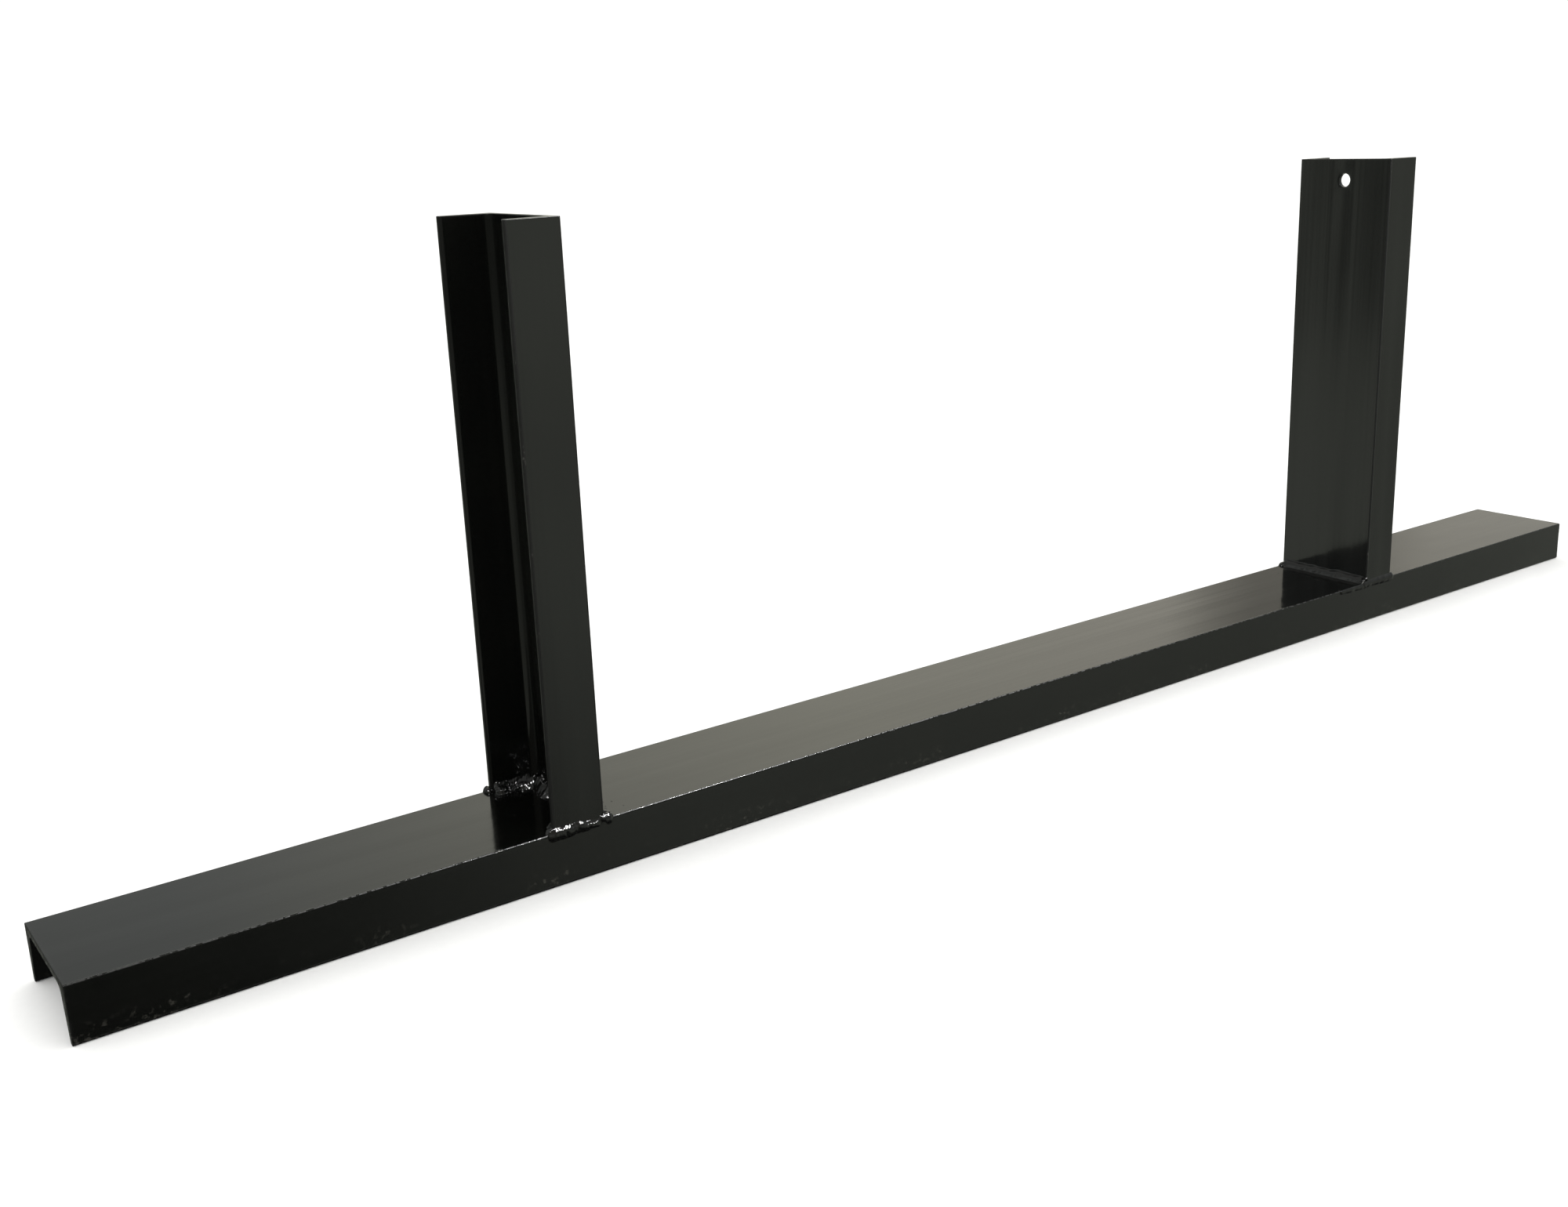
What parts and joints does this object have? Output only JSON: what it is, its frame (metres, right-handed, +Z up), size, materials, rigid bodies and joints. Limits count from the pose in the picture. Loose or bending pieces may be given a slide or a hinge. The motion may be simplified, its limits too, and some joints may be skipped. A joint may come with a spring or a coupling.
{
  "type": "welded channel floor frame",
  "caption": "Gloss-black welded steel frame: a long base channel lying web up, with short upright channels standing on it, each bored near its top.",
  "frame": {"origin": "on the floor, under the middle of the base channel", "axes": "+X along the base towards the right upright, -Y is the front, +Z up"},
  "size_m": [1.6, 0.1064, 0.4552],
  "materials": {
    "gloss_black_enamel": "gloss",
    "painted_weld": "gloss"
  },
  "bodies": {
    "root": {"base_channel": "gloss_black_enamel", "left_upright": "gloss_black_enamel", "right_upright": "gloss_black_enamel", "left_front_flange_weld": "painted_weld", "left_front_inner_weld": "painted_weld", "left_rear_flange_weld": "painted_weld", "left_rear_inner_weld": "painted_weld", "left_web_inner_weld": "painted_weld", "left_web_outer_weld": "painted_weld", "right_front_flange_weld": "painted_weld", "right_front_inner_weld": "painted_weld", "right_rear_flange_weld": "painted_weld", "right_rear_inner_weld": "painted_weld", "right_web_inner_weld": "painted_weld", "right_web_outer_weld": "painted_weld"}
  },
  "joints": []
}
